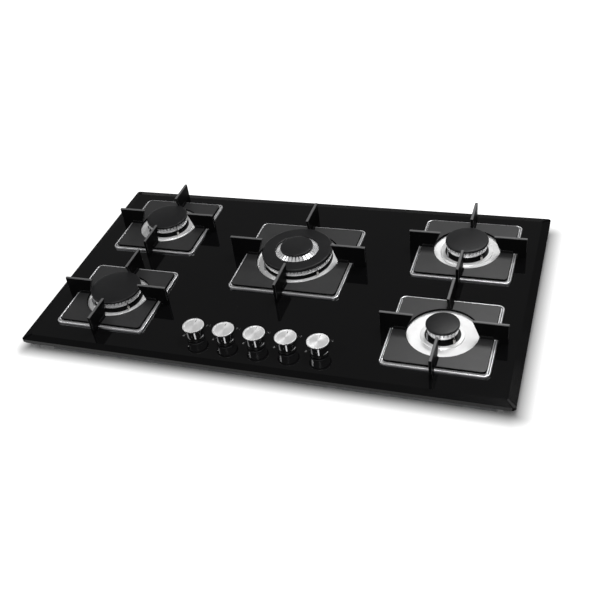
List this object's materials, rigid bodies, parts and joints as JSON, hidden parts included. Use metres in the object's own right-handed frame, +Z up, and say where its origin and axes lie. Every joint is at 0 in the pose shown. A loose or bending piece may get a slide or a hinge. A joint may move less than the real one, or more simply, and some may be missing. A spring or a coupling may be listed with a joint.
{
  "type": "built-in gas cooktop",
  "caption": "Built-in gas cooktop: black glass panel, square steel drip trays, cast pan supports, slotted burners with a nested middle one, and a front row of push-and-turn knobs.",
  "frame": {"origin": "middle of the casing's underside, below the middle of the glass", "axes": "+X to the cook's right, +Y to the rear, +Z up"},
  "size_m": [0.87, 0.5, 0.102],
  "materials": {
    "black_glass": "gloss",
    "seal_foam": "matte",
    "casing_steel": "satin",
    "tray_steel": "satin",
    "support_iron": "matte",
    "burner_aluminium": "satin",
    "cap_enamel": "satin",
    "knob_chrome": "gloss",
    "bezel_plastic": "gloss",
    "brass": "satin",
    "spindle_steel": "satin",
    "tube_aluminium": "satin",
    "rail_steel": "satin",
    "module_plastic": "matte",
    "electrode_ceramic": "matte",
    "probe_steel": "satin",
    "cup_enamel": "gloss",
    "bracket_steel": "satin",
    "screw_steel": "satin"
  },
  "bodies": {
    "cooktop": {"glass_panel": "black_glass", "worktop_seal": "seal_foam", "base_pan": "casing_steel", "drip_tray_lf": "tray_steel", "drip_tray_lr": "tray_steel", "drip_tray_rr": "tray_steel", "drip_tray_rf": "tray_steel", "drip_tray_c": "tray_steel", "burner_cup_lf": "cup_enamel", "burner_cup_lr": "cup_enamel", "burner_cup_rr": "cup_enamel", "burner_cup_rf": "cup_enamel", "burner_cup_c": "cup_enamel", "tap_body_1": "brass", "tap_body_2": "brass", "tap_body_3": "brass", "tap_body_4": "brass", "tap_body_5": "brass", "knob_bezels": "bezel_plastic", "gas_rail": "rail_steel", "inlet_fitting": "brass", "supply_tubes": "tube_aluminium", "injectors": "brass", "spark_electrodes": "electrode_ceramic", "thermocouples": "probe_steel", "burner_brackets": "bracket_steel", "ignition_module": "module_plastic", "worktop_clamps": "bracket_steel", "screws": "screw_steel"},
    "plug_1": {"tap_plug_1": "brass"},
    "control_1": {"tap_spindle_1": "spindle_steel", "knob_1": "knob_chrome"},
    "plug_2": {"tap_plug_2": "brass"},
    "control_2": {"tap_spindle_2": "spindle_steel", "knob_2": "knob_chrome"},
    "plug_3": {"tap_plug_3": "brass"},
    "control_3": {"tap_spindle_3": "spindle_steel", "knob_3": "knob_chrome"},
    "plug_4": {"tap_plug_4": "brass"},
    "control_4": {"tap_spindle_4": "spindle_steel", "knob_4": "knob_chrome"},
    "plug_5": {"tap_plug_5": "brass"},
    "control_5": {"tap_spindle_5": "spindle_steel", "knob_5": "knob_chrome"},
    "support_lf": {"pan_support_lf": "support_iron"},
    "support_lr": {"pan_support_lr": "support_iron"},
    "support_rr": {"pan_support_rr": "support_iron"},
    "support_rf": {"pan_support_rf": "support_iron"},
    "support_c": {"pan_support_c": "support_iron"},
    "crown_lf": {"burner_crown_lf": "burner_aluminium"},
    "crown_lr": {"burner_crown_lr": "burner_aluminium"},
    "crown_rr": {"burner_crown_rr": "burner_aluminium"},
    "crown_rf": {"burner_crown_rf": "burner_aluminium"},
    "crown_c": {"burner_crown_c": "burner_aluminium"},
    "cap_lf": {"burner_cap_lf": "cap_enamel"},
    "cap_lr": {"burner_cap_lr": "cap_enamel"},
    "cap_rr": {"burner_cap_rr": "cap_enamel"},
    "cap_rf": {"burner_cap_rf": "cap_enamel"},
    "cap_c": {"burner_cap_c": "cap_enamel"},
    "cap_c_inner": {"burner_cap_c_inner": "cap_enamel"}
  },
  "joints": [
    {"name": "tap_1_turn", "type": "hinge", "parent": "cooktop", "child": "plug_1", "pos_m": [-0.112, -0.186, 0.029], "axis": [0, 0, 1], "range_deg": [0, 180]},
    {"name": "knob_1_push", "type": "slide", "parent": "plug_1", "child": "control_1", "axis": [0, 0, -1], "range_m": [0, 0.003], "stiffness_N_per_m": 1500, "springref_m": -0.002},
    {"name": "tap_2_turn", "type": "hinge", "parent": "cooktop", "child": "plug_2", "pos_m": [-0.056, -0.186, 0.029], "axis": [0, 0, 1], "range_deg": [0, 180]},
    {"name": "knob_2_push", "type": "slide", "parent": "plug_2", "child": "control_2", "axis": [0, 0, -1], "range_m": [0, 0.003], "stiffness_N_per_m": 1500, "springref_m": -0.002},
    {"name": "tap_3_turn", "type": "hinge", "parent": "cooktop", "child": "plug_3", "pos_m": [0, -0.186, 0.029], "axis": [0, 0, 1], "range_deg": [0, 180]},
    {"name": "knob_3_push", "type": "slide", "parent": "plug_3", "child": "control_3", "axis": [0, 0, -1], "range_m": [0, 0.003], "stiffness_N_per_m": 1500, "springref_m": -0.002},
    {"name": "tap_4_turn", "type": "hinge", "parent": "cooktop", "child": "plug_4", "pos_m": [0.056, -0.186, 0.029], "axis": [0, 0, 1], "range_deg": [0, 180]},
    {"name": "knob_4_push", "type": "slide", "parent": "plug_4", "child": "control_4", "axis": [0, 0, -1], "range_m": [0, 0.003], "stiffness_N_per_m": 1500, "springref_m": -0.002},
    {"name": "tap_5_turn", "type": "hinge", "parent": "cooktop", "child": "plug_5", "pos_m": [0.112, -0.186, 0.029], "axis": [0, 0, 1], "range_deg": [0, 180]},
    {"name": "knob_5_push", "type": "slide", "parent": "plug_5", "child": "control_5", "axis": [0, 0, -1], "range_m": [0, 0.003], "stiffness_N_per_m": 1500, "springref_m": -0.002},
    {"name": "support_lf_lift", "type": "slide", "parent": "cooktop", "child": "support_lf", "axis": [0, 0, 1], "range_m": [0, 0.06]},
    {"name": "support_lr_lift", "type": "slide", "parent": "cooktop", "child": "support_lr", "axis": [0, 0, 1], "range_m": [0, 0.06]},
    {"name": "support_rr_lift", "type": "slide", "parent": "cooktop", "child": "support_rr", "axis": [0, 0, 1], "range_m": [0, 0.06]},
    {"name": "support_rf_lift", "type": "slide", "parent": "cooktop", "child": "support_rf", "axis": [0, 0, 1], "range_m": [0, 0.06]},
    {"name": "support_c_lift", "type": "slide", "parent": "cooktop", "child": "support_c", "axis": [0, 0, 1], "range_m": [0, 0.06]},
    {"name": "crown_lf_lift", "type": "slide", "parent": "cooktop", "child": "crown_lf", "axis": [0, 0, 1], "range_m": [0, 0.05]},
    {"name": "crown_lr_lift", "type": "slide", "parent": "cooktop", "child": "crown_lr", "axis": [0, 0, 1], "range_m": [0, 0.05]},
    {"name": "crown_rr_lift", "type": "slide", "parent": "cooktop", "child": "crown_rr", "axis": [0, 0, 1], "range_m": [0, 0.05]},
    {"name": "crown_rf_lift", "type": "slide", "parent": "cooktop", "child": "crown_rf", "axis": [0, 0, 1], "range_m": [0, 0.05]},
    {"name": "crown_c_lift", "type": "slide", "parent": "cooktop", "child": "crown_c", "axis": [0, 0, 1], "range_m": [0, 0.05]},
    {"name": "cap_lf_lift", "type": "slide", "parent": "crown_lf", "child": "cap_lf", "axis": [0, 0, 1], "range_m": [0, 0.04]},
    {"name": "cap_lr_lift", "type": "slide", "parent": "crown_lr", "child": "cap_lr", "axis": [0, 0, 1], "range_m": [0, 0.04]},
    {"name": "cap_rr_lift", "type": "slide", "parent": "crown_rr", "child": "cap_rr", "axis": [0, 0, 1], "range_m": [0, 0.04]},
    {"name": "cap_rf_lift", "type": "slide", "parent": "crown_rf", "child": "cap_rf", "axis": [0, 0, 1], "range_m": [0, 0.04]},
    {"name": "cap_c_lift", "type": "slide", "parent": "crown_c", "child": "cap_c", "axis": [0, 0, 1], "range_m": [0, 0.04]},
    {"name": "cap_c_inner_lift", "type": "slide", "parent": "crown_c", "child": "cap_c_inner", "axis": [0, 0, 1], "range_m": [0, 0.05]}
  ]
}
